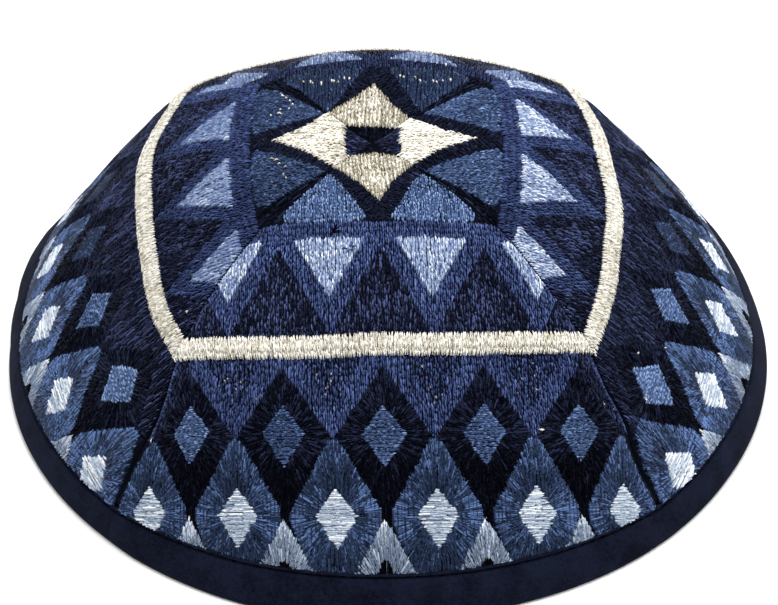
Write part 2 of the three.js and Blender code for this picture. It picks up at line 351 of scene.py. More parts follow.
def mesh_object(name, points, faces, materials, uv, face_material=None, tint=None):
    """An object from points and a list of face arrays, each with its own corner count."""
    sizes = np.concatenate([np.full(len(group), group.shape[1]) for group in faces])
    corners = np.concatenate([group.ravel() for group in faces])
    mesh = bpy.data.meshes.new(name)
    mesh.vertices.add(len(points))
    mesh.vertices.foreach_set("co", (points * MM).astype(np.float32).ravel())
    mesh.loops.add(len(corners))
    mesh.loops.foreach_set("vertex_index", corners.astype(np.int32))
    mesh.polygons.add(len(sizes))
    mesh.polygons.foreach_set("loop_start", (np.cumsum(sizes) - sizes).astype(np.int32))
    mesh.polygons.foreach_set("use_smooth", np.ones(len(sizes), bool))
    for material in materials:
        mesh.materials.append(material)
    if face_material is not None:
        mesh.polygons.foreach_set("material_index", face_material.astype(np.int32))
    layer = mesh.uv_layers.new(name="UVMap")
    layer.data.foreach_set("uv", uv.astype(np.float32).ravel())
    if tint is not None:
        attribute = mesh.attributes.new("tint", "FLOAT", "POINT")
        attribute.data.foreach_set("value", tint.astype(np.float32))
    mesh.update()
    mesh.validate()
    piece = bpy.data.objects.new(name, mesh)
    bpy.context.scene.collection.objects.link(piece)
    return piece


def grid_faces(rows, columns, start=0, flip=False, closed=False):
    """Faces of a grid of points kept row by row. A closed one joins up both ways."""
    row = np.arange(rows - 1 + closed)[:, None]
    column = np.arange(columns - 1 + closed)
    below = (row + 1) % rows
    right = (column + 1) % columns
    row, below = row * columns, below * columns
    corners = [row + column, below + column, below + right, row + right]
    faces = np.stack(corners, -1).reshape(-1, 4) + start
    return faces[:, ::-1] if flip else faces


# How deep a thread's twist is, and how wide and deep one weave of the cloth is, in metres
TWIST_DEPTH = 0.00004
WEAVE = 0.00045
WEAVE_DEPTH = 0.00004


def linear(red, green, blue):
    """An sRGB colour from 0 to 255 as the linear colour that shaders take."""
    channels = []
    for value in (red, green, blue):
        value = value / 255
        channels.append(value / 12.92 if value <= 0.04045 else ((value + 0.055) / 1.055) ** 2.4)
    return (*channels, 1.0)


class Nodes:
    """Short calls for a material's nodes."""

    def __init__(self, name):
        self.material = bpy.data.materials.new(name)
        self.material.use_nodes = True
        self.tree = self.material.node_tree
        self.shader = self.tree.nodes["Principled BSDF"]

    def add(self, kind, **values):
        node = self.tree.nodes.new(kind)
        for key, value in values.items():
            setattr(node, key, value)
        return node

    def link(self, output, target):
        self.tree.links.new(output, target)

    def math(self, operation, first, second):
        node = self.add("ShaderNodeMath", operation=operation)
        for socket, value in zip(node.inputs, (first, second)):
            if isinstance(value, (int, float)):
                socket.default_value = value
            else:
                self.link(value, socket)
        return node.outputs[0]

    def ramp(self, value, stops):
        node = self.add("ShaderNodeValToRGB")
        elements = node.color_ramp.elements
        while len(elements) < len(stops):
            elements.new(0.5)
        for element, (position, colour) in zip(elements, stops):
            element.position = position
            element.color = colour
        self.link(value, node.inputs[0])
        return node.outputs[0]

    def noise(self, scale, detail, roughness=0.5):
        coordinates = self.add("ShaderNodeTexCoord")
        node = self.add("ShaderNodeTexNoise")
        node.inputs["Scale"].default_value = scale
        node.inputs["Detail"].default_value = detail
        node.inputs["Roughness"].default_value = roughness
        self.link(coordinates.outputs["Object"], node.inputs["Vector"])
        return node.outputs[0]

    def surface(self, colour, roughness, gloss):
        self.link(colour, self.shader.inputs["Base Color"])
        self.shader.inputs["Roughness"].default_value = roughness
        self.shader.inputs["Specular IOR Level"].default_value = gloss

    def over_cloth(self):
        uv = self.add("ShaderNodeUVMap", uv_map="UVMap").outputs[0]
        parts = self.add("ShaderNodeSeparateXYZ")
        self.link(uv, parts.inputs[0])
        return parts.outputs[0], parts.outputs[1]

    def bump(self, height, distance, strength):
        node = self.add("ShaderNodeBump")
        node.inputs["Distance"].default_value = distance
        node.inputs["Strength"].default_value = strength
        self.link(height, node.inputs["Height"])
        self.link(node.outputs[0], self.shader.inputs["Normal"])


def thread_material(name, shade, body, light, gloss, roughness):
    """Glossy twisted thread whose stitches differ a little in colour. Its colour ramp runs from painted
    shade to painted highlight.
    """
    nodes = Nodes(name)
    tint = nodes.add("ShaderNodeAttribute", attribute_name="tint").outputs["Fac"]
    patches = nodes.math("MULTIPLY", nodes.math("SUBTRACT", nodes.noise(110.0, 3.0), 0.5), 0.4)
    grain = nodes.math("MULTIPLY", nodes.math("SUBTRACT", nodes.noise(1500.0, 2.0, 0.7), 0.5), 0.9)
    value = nodes.math("ADD", tint, nodes.math("ADD", patches, grain))
    colour = nodes.ramp(value, [(0.05, linear(*shade)), (0.5, linear(*body)), (0.97, linear(*light))])
    nodes.surface(colour, roughness, gloss)
    nodes.shader.inputs["Specular Tint"].default_value = linear(*light)
    along, around = nodes.over_cloth()
    run = nodes.math("MULTIPLY", along, 7.0)
    turn = nodes.math("MULTIPLY", around, 2 * math.pi)
    nodes.bump(nodes.math("SINE", nodes.math("ADD", run, turn), 0), TWIST_DEPTH, 0.6)
    return nodes.material


def cloth_material(name, body, light):
    """Matt plain-woven cotton."""
    nodes = Nodes(name)
    patches = nodes.noise(140.0, 4.0, 0.6)
    grain = nodes.math("MULTIPLY", nodes.noise(1300.0, 2.0, 0.6), 0.7)
    colour = nodes.ramp(nodes.math("ADD", patches, grain), [(0.62, linear(*body)), (1.0, linear(*light))])
    nodes.surface(colour, 0.9, 0.05)
    across, down = nodes.over_cloth()
    turns = 2 * math.pi * MM / WEAVE
    warp = nodes.math("SINE", nodes.math("MULTIPLY", across, turns), 0)
    weft = nodes.math("SINE", nodes.math("MULTIPLY", down, turns), 0)
    nodes.bump(nodes.math("MULTIPLY", warp, weft), WEAVE_DEPTH, 0.8)
    return nodes.material


# Each thread's colour in painted shade, in most places and in painted highlight, its gloss and its
# roughness
COLOURS = {
    "cream": ((150, 142, 122), (230, 226, 214), (253, 252, 248), 0.5, 0.42),
    "light": ((78, 98, 142), (164, 180, 207), (238, 243, 249), 0.6, 0.38),
    "pale": ((98, 112, 136), (176, 190, 208), (240, 244, 248), 0.5, 0.4),
    "mid": ((20, 30, 54), (78, 100, 144), (142, 168, 210), 0.45, 0.4),
    "denim": ((12, 16, 28), (39, 52, 78), (100, 127, 178), 0.5, 0.4),
    "royal": ((20, 25, 48), (57, 70, 112), (102, 122, 178), 0.4, 0.42),
    "navy": ((7, 9, 18), (30, 34, 54), (78, 90, 134), 0.2, 0.5),
    "night": ((3, 3, 8), (12, 14, 24), (42, 49, 76), 0.1, 0.55),
}
COLOUR_NAMES = list(COLOURS)
THREADS = [thread_material(f"{name}_thread", *look) for name, look in COLOURS.items()]
# The panel cloth's near black is partly painted shade, darkening the gaps between stitches.
GROUND_CLOTH = cloth_material("panel_cloth", (4, 6, 15), (8, 11, 24))
LINING_CLOTH = cloth_material("lining_cloth", (15, 20, 37), (25, 32, 55))
BINDING_CLOTH_LOOK = cloth_material("binding_cloth", (6, 10, 23), (20, 25, 43))


class Stitches:
    """Stitches of one panel, kept as flat lines until they are laid on the cap."""

    def __init__(self, panel, seed, bridge=False, past_hem=0.5):
        self.panel = panel
        self.name = PANELS[panel]
        self.on_side = self.name in ("left", "right")
        # Painted light and shade of each motif on this panel
        self.tint = dict(zip(MOTIFS, PAINTED_LIGHT_TINTS[self.name]))
        self.bridge = bridge
        self.past_hem = past_hem
        self.rng = np.random.default_rng(seed)
        self.rows = []

    def add(self, colour, start, end, height=0.1, arch=0.16, width=THREAD, tint=0.5, spread=0.16):
        """Adds stitches from start to end, both lists of flat points."""
        start, end = (np.atleast_2d(np.asarray(points, float)) for points in (start, end))
        count = len(start)
        if callable(tint):
            middle = (start + end) / 2
            tint = tint(middle[:, 0], middle[:, 1])
        shade = np.clip(tint + self.rng.normal(0, spread, count), 0, 1)
        lift = height + self.rng.uniform(-0.06, 0.08, count)
        wide = width * self.rng.uniform(0.82, 1.12, count)
        same = np.ones(count)
        index = COLOUR_NAMES.index(colour)
        self.rows.append(np.column_stack([start, end, lift, arch * same, wide, shade, index * same]))

    def split(self, colour, start, end, longest, ragged, stray=0.08, **look):
        """Adds one long line as a row of stitches, each starting where the last one ended."""
        start, end = np.array([start, end], float)
        length = np.hypot(*(end - start))
        if length < SHORTEST_STITCH:
            return
        along = (end - start) / length
        start = start - along * self.rng.uniform(-0.3, 1) * ragged
        end = end + along * self.rng.uniform(-0.3, 1) * ragged
        length = np.hypot(*(end - start))
        pieces = max(1, int(round(length / longest)))
        cuts = np.arange(1, pieces) + self.rng.uniform(-0.38, 0.38, max(pieces - 1, 0))
        cuts = np.concatenate([[0], cuts, [pieces]]) / pieces * length
        points = start + along * cuts[:, None]
        first = points[:-1] - along * 0.1 + self.rng.normal(0, stray, (pieces, 2))
        last = points[1:] + along * 0.1 + self.rng.normal(0, stray, (pieces, 2))
        self.add(colour, first, last, **look)

    def underlay(self, colour, loops, direction, tint=0.12):
        """Flat stitches under light ones, in the thread's painted shade, that fill the gaps between them.
        """
        self.scan(colour, loops, direction, spacing=0.85, longest=5.0, ragged=0, height=-0.02,
                  arch=0.02, width=1.15, tint=tint, spread=0.04)

    def scan(self, colour, loops, direction, spacing=0.42, longest=4.0, ragged=0.3, **look):
        """Fills the space between closed loops with parallel stitches."""
        along = np.asarray(direction, float)
        along = along / np.hypot(*along)
        across = np.array([along[1], -along[0]])
        loops = [np.asarray(loop, float) for loop in loops]
        edges = np.concatenate([np.stack([loop, np.roll(loop, -1, axis=0)], 1) for loop in loops])
        near = edges @ across
        far = edges @ along
        for step in np.arange(near.min() + spacing * self.rng.uniform(0.3, 0.7), near.max(), spacing):
            line = step + self.rng.uniform(-0.06, 0.06)
            hit = (near[:, 0] - line) * (near[:, 1] - line) < 0
            if hit.sum() < 2:
                continue
            part = (line - near[hit, 0]) / (near[hit, 1] - near[hit, 0])
            crossings = np.sort(far[hit, 0] + part * (far[hit, 1] - far[hit, 0]))
            for low, high in zip(crossings[::2], crossings[1::2]):
                self.split(colour, across * line + along * low, across * line + along * high,
                           longest, ragged, **look)

    def fan(self, colour, centre, inner, outer, spacing, longest, ragged=0.3, **look):
        """Fills the space between two loops with stitches that radiate from a centre."""
        centre = np.asarray(centre, float)
        outer = np.asarray(outer, float)
        edges = np.roll(outer, -1, axis=0) - outer
        lengths = np.hypot(*edges.T)
        starts = np.concatenate([[0], np.cumsum(lengths)])
        places = np.arange(self.rng.uniform(0, spacing), lengths.sum(), spacing)
        for number, at in enumerate(places):
            side = min(np.searchsorted(starts, at, side="right"), len(outer)) - 1
            reach = outer[side] + edges[side] * (at - starts[side]) / lengths[side]
            first = leave_loop(centre, reach, inner)
            first = first + (reach - first) * (number % 2) * self.rng.uniform(0.3, 0.55)
            self.split(colour, first, reach, longest, ragged, **look)

    def clipped(self):
        """All the stitches, each cut back to the panel's seams and to its hem."""
        rows = np.concatenate(self.rows)
        t = np.linspace(0, 1, 33)
        run = rows[:, 2:4] - rows[:, 0:2]
        x = rows[:, 0:1] + run[:, 0:1] * t
        y = rows[:, 1:2] + run[:, 1:2] * t
        distance, share = wrap(x, y)
        edge = np.interp(distance, [72, 92], [0.12, 0.75]) * (not self.bridge)
        inside = (to_seam(distance, share) > edge) & (np.abs(share) < 1) & (y > 0.05)
        inside &= distance < hem_distance(self.panel, np.clip(share, -1, 1)) + self.past_hem
        keep = inside.sum(1) >= 3
        rows, run, inside = rows[keep], run[keep], inside[keep]
        first = t[inside.argmax(1)]
        last = t[len(t) - 1 - inside[:, ::-1].argmax(1)]
        rows[:, 2:4] = rows[:, 0:2] + run * last[:, None]
        rows[:, 0:2] = rows[:, 0:2] + run * first[:, None]
        return rows[stitch_lengths(rows) > SHORTEST_STITCH]


def stitch_lengths(rows):
    """The length of each stitch in the flat pattern."""
    return np.hypot(*(rows[:, 2:4] - rows[:, 0:2]).T)


def leave_loop(centre, reach, loop):
    """Where the line from a centre to a point beyond a loop leaves the loop."""
    loop = np.asarray(loop, float)
    ahead = np.roll(loop, -1, axis=0) - loop
    ray = reach - centre
    cross = ray[0] * ahead[:, 1] - ray[1] * ahead[:, 0]
    cross = np.where(np.abs(cross) < 1e-9, 1e-9, cross)
    gap = loop - centre
    along = (gap[:, 0] * ahead[:, 1] - gap[:, 1] * ahead[:, 0]) / cross
    on_edge = (gap[:, 0] * ray[1] - gap[:, 1] * ray[0]) / cross
    hits = along[(along > 0) & (on_edge >= -1e-6) & (on_edge <= 1 + 1e-6)]
    return centre + ray * hits.max() if len(hits) else centre


def thread_points(panel, rows, rings, rng, sink):
    """Corner points of three-sided threads, with shape stitches by rings by three corners."""
    start, run = rows[:, 0:2], rows[:, 2:4] - rows[:, 0:2]
    lift, arch, wide = rows[:, 4:7].T
    t = np.array(rings, float)
    length = stitch_lengths(rows)
    side = np.stack([-run[:, 1], run[:, 0]], -1) / length[:, None]
    wobble = rng.normal(0, 0.06, (len(rows), 1)) * np.sin(math.pi * t)
    flat = start[:, None, :] + run[:, None, :] * t[..., None] + side[:, None, :] * wobble[..., None]
    distance, share = wrap(flat[..., 0], flat[..., 1])
    rise = (4 * t * (1 - t)) ** 0.55
    longer = np.clip(length / 4, 0.5, 1.3)[:, None]
    height = lift[:, None] + arch[:, None] * longer * rise - 0.3 * (1 - rise) ** 2
    centre = cap_point(panel, distance, share, height - sink * crease(distance, share))
    normal = cap_normal(panel, distance, share)
    along = np.gradient(centre, axis=1)
    along /= np.linalg.norm(along, axis=-1, keepdims=True)
    across = np.cross(along, normal)
    across /= np.maximum(np.linalg.norm(across, axis=-1, keepdims=True), 1e-9)
    taper = np.where((t == 0) | (t == 1), 0.6, 1.0)[..., None] * wide[:, None, None] / 2
    low, high = centre - normal * taper * 0.35, centre + normal * taper * 0.75
    return np.stack([low - across * taper, high, low + across * taper], 2)


def thread_faces(count, rings, first):
    """Faces of closed three-sided threads: their sides, and the two ends as folded quads."""
    base = first + np.arange(count)[:, None, None] * rings * 3
    near = base + np.arange(rings - 1)[:, None] * 3
    far = near + 3
    corner = np.arange(3)
    following = (corner + 1) % 3
    quads = [near + corner, near + following, far + following, far + corner]
    start_cap = base[:, 0] + [0, 2, 1]
    end_cap = base[:, 0] + (rings - 1) * 3 + corner
    return np.stack(quads, -1).reshape(-1, 4), np.concatenate([start_cap, end_cap])


def thread_uv(length, rings):
    """Along the thread in millimetres, and once round it."""
    start, end = (length[:, None, None] * np.array(part)[:, None] for part in (rings[:-1], rings[1:]))
    side, after = np.arange(3) / 3, np.arange(1, 4) / 3
    both = np.broadcast_arrays(start, start, end, end, side, after, after, side)
    uv = np.stack([np.stack(both[:4], -1), np.stack(both[4:], -1)], -1)
    return uv.reshape(-1, 2), np.zeros((6 * len(length), 2))


def lay_stitches(name, sew):
    """Turns flat stitches into closed thread meshes that lie on the cap."""
    rows = sew.clipped()
    long = stitch_lengths(rows) >= LONG_STITCH
    sink = 0.2 if sew.bridge else 1.0
    parts = []
    first = 0
    for rings, group in ((SHORT_RINGS, rows[~long]), (LONG_RINGS, rows[long])):
        if len(group) == 0:
            continue
        corners = thread_points(sew.panel, group, rings, sew.rng, sink).reshape(-1, 3)
        tint, colour = group[:, 7], group[:, 8]
        parts.append((
            corners, np.repeat(tint, len(rings) * 3),
            *thread_faces(len(group), len(rings), first), *thread_uv(stitch_lengths(group), rings),
            np.repeat(colour, (len(rings) - 1) * 3), np.concatenate([colour, colour]),
        ))
        first += len(corners)
    points, tint, sides, ends, side_uv, end_uv, side_colour, end_colour = zip(*parts)
    points, tint, sides, ends = (np.concatenate(rows) for rows in (points, tint, sides, ends))
    uv, colour = np.concatenate(side_uv + end_uv), np.concatenate(side_colour + end_colour)
    return mesh_object(name, points, [sides, ends], THREADS, uv, colour, tint)


def symmetric(middle, points):
    """A closed loop from the points of its right side, each as a gap from its middle and a y."""
    right = [(middle + gap, y) for gap, y in points]
    left = [(middle - gap, y) for gap, y in reversed(points) if gap]
    loop = right + left
    return loop[-1:] + loop[:-1] if points[0][0] else loop


def diamond(middle, top, side, bottom, half):
    """A diamond as a closed loop of flat points."""
    return symmetric(middle, [(0, top), (half, side), (0, bottom)])


def star_petal(name):
    """A panel's star petal and dark core as loops, its tip, and a corner and a waist on each side."""
    shape = STAR[name]
    tip = np.array(shape["tip"])
    sides = []
    for sign, shoulder in ((-1, shape["left"]), (1, shape["right"])):
        corner = np.array([sign * (shoulder + 0.4), shoulder])
        waist = (corner + tip) / 2 - np.array([sign * 0.7, 0.5])
        sides.append((corner, waist))
    loop = [*shape["core"], *sides[1], tip, sides[0][1], sides[0][0]]
    core = [(0, 0.2), *reversed(shape["core"])]
    return loop, core, tip, sides


def stitch_core(sew, core):
    """The star's dark core, with a blue line along each of its back seams."""
    thread, tint = ("navy", 0.55) if sew.on_side else ("night", 0.4)
    sew.scan(thread, [core], DOWN, longest=1.6, height=0.05, tint=tint)
    if sew.name == "back":
        for sign in (-1, 1):
            for step in np.arange(0.5, 6.0, 0.8):
                start = (sign * (step + 0.1), step + 0.25)
                end = (sign * (step + 0.8), step + 0.95)
                sew.add("mid", start, end, height=0.4, width=0.5)


def stitch_crown(sew):
    """Core, the star petal's outline, crown triangles and the frame round them."""
    frame_top, frame_end = FRAME[sew.name][:2]
    core, tip, sides = star_petal(sew.name)[1:]
    stitch_core(sew, core)
    for sign, (corner, waist) in zip((-1, 1), sides):
        outline = [corner + (0, 0.2), waist, tip + (0, 0.2), (tip[0], frame_top - 0.2),
                   (sign * 2.0, frame_top - 0.5), (sign * 7.0, 17.3), (sign * 10.4, 11.4)]
        sew.scan("navy", [outline], (sign * 11.9, 8.8), longest=1.9, ragged=0.5, tint=0.3, spread=0.12)
        base = [(2.8, 1.6), (3.6, 0.7), (8.0, 0.2), (18.6, 0.2), (20.6, 0.9), (21.2, 2.3), (20.4, 4.0)]
        triangle = [(sign * x, frame_top - rise) for x, rise in base]
        triangle = [(sign * 10.4, 11.2), (sign * 8.0, 14.6), *triangle]
        light = sew.tint["crown"]
        sew.underlay("mid", [triangle], DOWN, light * 0.3)
        sew.scan("mid", [triangle], DOWN, spacing=0.46, longest=1.15, ragged=0.5, stray=0.13,
                 height=0.16, tint=light, spread=0.18)
        base = [(20.4, 4.0), (21.2, 2.3), (21.9, 0.7), (26.6, 0.2)]
        stripe = [(sign * x, frame_top - rise) for x, rise in base]
        stripe = [(sign * 10.2, 10.2), (sign * 10.4, 11.4), *stripe]
        sew.scan("night", [stripe], (sign, 1), longest=2.4, height=0.05)
    frame_band = [(-30, frame_top), (30, frame_top), (33, frame_end), (-33, frame_end)]
    sew.scan("royal", [frame_band], DOWN, spacing=0.46, longest=1.5, height=0.12,
             tint=sew.tint["frame"], spread=0.12)
    for name, thread, x, y, radius, start, end, count, tint in DOT_ARCS:
        if name != sew.name:
            continue
        turn = np.radians(np.linspace(start, end, count))
        dots = np.column_stack([x + radius * np.cos(turn), y - radius * np.sin(turn)])
        dots += sew.rng.normal(0, 0.45, dots.shape)
        slant = sew.rng.normal(0, 0.3, dots.shape) + (0.1, 0.7)
        sew.add(thread, dots - slant / 2, dots + slant / 2, height=0.38, arch=0.15, width=0.5, tint=tint)
    if sew.name == "front":
        stitch_tufts(sew)


def stitch_tufts(sew):
    """A dark hole in the front frame, and a blue tuft on the triangle under it."""
    rng = sew.rng
    tufts = [("night", (-9.6, 29.2), 7, 0.1), ("royal", (-6.2, 33.6), 8, 0.45)]
    for colour, middle, count, tint in tufts:
        start = middle + rng.normal(0, 0.35, (count, 2))
        turn = rng.uniform(0, 2 * math.pi, count)
        end = start + np.column_stack([np.cos(turn), np.sin(turn)]) * 1.3
        sew.add(colour, start, end, height=0.42, tint=tint)


def stitch_upper_band(sew):
    """Light triangles in royal outlines, with dark triangles between them."""
    middles = LIGHT_MIDDLES[sew.name]
    ends = [middles[0] - PITCH, *middles, middles[-1] + PITCH]
    valleys = [(low + high) / 2 for low, high in zip(ends[:-1], ends[1:])]
    frame_end, triangle_tip = FRAME[sew.name][1:]
    valley_start = frame_end + 1.9
    for middle, left, right in zip(middles, valleys[:-1], valleys[1:]):
        triangle = symmetric(middle, [(TRIANGLE_HALF, frame_end), (0, triangle_tip)])
        outline = [(left, frame_end - 0.2), (right, frame_end - 0.2), (right, valley_start),
                   (middle, BORDER_TOP + 0.4), (left, valley_start)]
        sew.underlay("light", [triangle], DOWN)
        sew.scan("light", [triangle], DOWN, longest=1.7, ragged=0.7, height=0.2,
                 tint=sew.tint["upper"], spread=0.22)
        sew.scan("royal", [outline, triangle], DOWN, spacing=0.46, longest=1.6, height=0.13,
                 tint=sew.tint["frame"], spread=0.12)
    for valley, low, high in zip(valleys, ends[:-1], ends[1:]):
        dark = [(valley, valley_start), (high, BORDER_TOP + 0.8), (low, BORDER_TOP + 0.8)]
        sew.scan("navy", [dark], DOWN, spacing=0.48, longest=1.5, ragged=0.4, stray=0.12, height=0.08,
                 tint=dark_tint(valley, sew.tint["dark"]), spread=0.2)


def patch(x, y, middle, low, half_width, half_height):
    """A round patch, 1 in its middle and fading out."""
    return np.exp(-(((x - middle) / half_width) ** 2) - ((y - low) / half_height) ** 2)


def dark_tint(middle, base):
    """A tint with a painted highlight round the lower middle of a dark triangle."""
    return lambda x, y: base + 0.24 * patch(x, y, middle, 46.0, 4.0, 5.0)


def petal_tint(base):
    """A tint for a star petal, with a painted highlight in the middle of the ones in painted shade."""
    return lambda x, y: base + (0.5 - base) * patch(x, y, 0, 13.5, 1.7, 2.8)


def denim_tint(middle, base):
    """A tint with painted sheen at a denim diamond's top and sides, and painted shade above and below its
    pale one.
    """
    def tint(x, y):
        upper = np.clip((84.5 - y) / 6.0, 0, 1)
        edge = np.clip(np.abs(x - middle) / HALF, 0, 1) ** 1.5 * np.clip((100 - y) / 4.0, 0, 1)
        shadow = patch(x, y, middle, 84.6, 4.2, 2.4)
        lower = np.clip((y - 96.0) / 3.0, 0, 1)
        return base + 0.12 * upper + 0.42 * edge - 0.32 * shadow - 0.14 * lower
    return tint


def night_tint(on_side):
    """A tint that is lighter beside the small diamonds than under them."""
    low, rise = (0.44, 0.14) if on_side else (0.28, 0.3)
    return lambda x, y: low + rise * np.clip((82.0 - y) / 5.0, 0, 1)


def foot_tint(x, y):
    """A tint with painted shade low on a pale triangle, which is lightest at its top."""
    return 0.14 + 0.6 * np.clip((97.0 - y) / 4.5, 0, 1)


def stitch_lower_bands(sew):
    """Hanging triangles, small diamonds in dark ones and pale diamonds in denim ones."""
    for step in (-5, -3, -1, 1, 3, 5):
        stitch_hanging(sew, step)
        stitch_denim(sew, step * HALF)
    foot_shift = FRONT_FOOT_SHIFT if sew.name == "front" else 0
    for step, light in zip((-6, -4, -2, 0, 2, 4, 6), SMALL_TINT[sew.name]):
        stitch_night(sew, step * HALF, light, SMALL_SHIFT.get((sew.name, step), (0, 0, 0)))
        stitch_foot(sew, step * HALF + foot_shift)
    if not sew.on_side:
        stitch_seam_highlights(sew)


def stitch_hanging(sew, step):
    """A royal triangle that hangs from the border, with a darker one inside it."""
    middle = step * HALF
    top = BORDER_END - 1.4
    inside = symmetric(middle, [(7.4, top), (0, 69.5)])
    outline = symmetric(middle, [(HALF, top), (HALF, DIAMOND_TOP), (0, DIAMOND_SIDE + 0.4)])
    light = sew.tint["hanging"]
    if sew.on_side:
        sew.scan("navy", [outline], DOWN, spacing=0.48, longest=2.6, stray=0.06, tint=light)
        return
    sew.scan("royal", [inside], DOWN, spacing=0.52, longest=1.4, ragged=0.5, stray=0.12,
             height=0.06, spread=0.2, tint=0.38)
    sew.scan("navy" if abs(step) == 5 else "royal", [outline, inside], DOWN, spacing=0.46,
             longest=1.8, ragged=0.4, height=0.12, tint=light, spread=0.12)
    specks(sew, "cream", middle, 63.0, 2.4, 7, 0.3, 0.08)


def stitch_denim(sew, middle):
    """A denim diamond with a pale one in it."""
    denim = symmetric(middle, [
        (1.1, DIAMOND_SIDE + 0.2), (9.6, 89.6), (9.9, DIAMOND_END), (5.2, 104.5), (5.0, SKIRT_END),
    ])
    pale = diamond(middle, *PALE_DIAMOND)
    sew.underlay("denim", [denim, pale], DOWN, 0.3)
    sew.fan("denim", (middle, PALE_DIAMOND[1]), pale, denim, spacing=0.44, longest=2.6, stray=0.05,
            height=0.12, arch=0.1, tint=denim_tint(middle, sew.tint["denim"]))
    specks(sew, "night", middle, 80.6, 2.0, 12, 0.42, 0.35)
    sew.underlay("pale", [pale], LEVEL, 0.4)
    sew.scan("pale", [pale], LEVEL, spacing=0.4, longest=2.6, ragged=0.6, height=0.2, arch=0.18,
             tint=sew.tint["pale"], spread=0.2)


def stitch_night(sew, middle, light, shift):
    """A dark diamond with a small blue one in it."""
    dark = symmetric(middle, [(0, DIAMOND_TOP), (HALF, DIAMOND_SIDE), (1.1, 90.4), (0.9, 93.5)])
    aside, below, wider = shift
    top, side, bottom, half = SMALL_DIAMOND
    centre = (middle + aside, side + below)
    small = diamond(centre[0], top + below - wider, centre[1], bottom + below + wider, half + wider)
    sew.fan("night", centre, small, dark, spacing=0.44, longest=2.0, ragged=0.6, arch=0.12,
            tint=night_tint(sew.on_side))
    sew.underlay("mid", [small], LEVEL, light * 0.4)
    sew.scan("mid", [small], LEVEL, longest=1.3, ragged=0.4, stray=0.1, height=0.16, tint=light,
             spread=0.14)


def stitch_foot(sew, middle):
    """A pale triangle that stands on the binding, with a dark notch in it."""
    notch = [(-2.2, 108.5), (-1.5, 102.6), (-0.6, 100.8), (0.5, 100.8), (1.3, 102.6), (2.0, 108.5)]
    notch = [(middle + x, y) for x, y in notch]
    triangle = [(middle - 8.1, 106.5), (middle, DIAMOND_END - 0.3), (middle + 8.1, 106.5)]
    sew.underlay("pale", [triangle, notch], DOWN, 0.05)
    sew.fan("pale", (middle, 108.5), notch, triangle, spacing=0.46, longest=2.6, ragged=0.5,
            height=0.16, arch=0.14, tint=foot_tint, spread=0.2)
    sew.scan("night", [notch], DOWN, spacing=0.4, height=0.3, tint=0.1)


def specks(sew, colour, middle, low, reach, count, width, tint):
    """Points of another thread that show between stitches."""
    rng = sew.rng
    start = np.array([middle, low]) + rng.normal(0, reach, (count, 2))
    end = start + rng.uniform(-0.2, 0.2, (count, 2)) + (0, 0.5)
    sew.add(colour, start, end, height=0.26, arch=0.1, width=width, tint=tint)


def stitch_seam_highlights(sew):
    """A painted highlight of royal stitches along both seams under the border's corners, where the
    cloth's raised fold catches light.
    """
    distance = np.arange(67.5, 88.0, 0.4)
    width = np.interp(distance, ARC, RADII) * HALF_PANEL
    for side in (-1, 1):
        outer = unwrap(distance, side * (1 - 0.25 / width))
        inner = unwrap(distance, side * (1 - 1.5 / width))
        wander = sew.rng.uniform(0, 1, (len(distance), 1))
        sew.add("royal", outer, inner + (outer - inner) * 0.4 * wander, height=0.3, arch=0.4)


def border_wave(sew, x):
    """How far the border strays from a straight line."""
    drift = np.interp(x, BORDER_DRIFT_AT, BORDER_DRIFT[sew.name])
    return drift + 0.12 * np.sin(x / 4.1 + sew.panel * 1.7)


def stitch_border(sew):
    """The raised satin border across the panel, as three runs of short stitches over a padding."""
    x = np.arange(-51, 51, 0.26)
    rng = sew.rng
    wave = border_wave(sew, x)
    pad_x = x[::3]
    pad = border_wave(sew, pad_x)
    pad_top = np.column_stack([pad_x, BORDER_TOP + 0.5 + pad])
    pad_end = np.column_stack([pad_x, BORDER_END - 0.5 + pad])
    # The padding's low tint is painted shade in the gaps between the satin stitches.
    sew.add("cream", pad_top, pad_end, arch=0.2, width=1.3, tint=0.22, spread=0.04)
    slant = 0.25 * np.sin(x / 13.0 + sew.panel) + rng.normal(0, 0.16, len(x))
    top = np.column_stack([x + slant, BORDER_TOP + wave + rng.uniform(-0.2, 0.25, len(x))])
    bottom = np.column_stack([x - slant, BORDER_END + wave + rng.uniform(-0.25, 0.2, len(x))])
    levels = [0 * x, rng.uniform(0.2, 0.45, len(x)), rng.uniform(0.55, 0.8, len(x)), 0 * x + 1]
    for low, high in zip(levels[:-1], levels[1:]):
        first = top + (bottom - top) * np.clip(low - 0.03, 0, 1)[:, None]
        last = top + (bottom - top) * np.clip(high + 0.03, 0, 1)[:, None]
        dome = 1 - np.abs(low + high - 1) ** 2
        sew.add("cream", first, last, height=0.3 + 0.35 * dome, arch=0.22, width=0.36, tint=0.52,
                spread=0.18)


def stitch_star(sew):
    """The cream petal of the star on one panel."""
    petal = star_petal(sew.name)[0]
    sew.underlay("cream", [petal], DOWN, 0.45)
    sew.scan("cream", [petal], DOWN, spacing=0.35, longest=1.4, ragged=0.6, stray=0.12, height=0.3,
             arch=0.24, tint=petal_tint(sew.tint["petal"]), spread=0.2)


def stitch_hem(sew):
    """The line of dark stitches that holds the binding, a little under its upper edge."""
    share = np.arange(-0.99, 0.97, 0.041)
    share = share + sew.rng.uniform(-0.003, 0.003, len(share))
    after = share + 0.031
    start, end = (unwrap(hem_distance(sew.panel, at) + HEM_BELOW, at) for at in (share, after))
    sew.add("night", start, end, height=-0.35, arch=0.3, width=0.42, tint=0.1)


def stitch_strays(sew):
    """Single pale stitches that stray over the panel."""
    for name, x, y, across, along in STRAYS:
        if name == sew.name:
            sew.add("cream", (x, y), (x + across, y + along), height=0.4, arch=0.15, width=0.45)


FIELD = [stitch_crown, stitch_upper_band, stitch_lower_bands, stitch_strays]


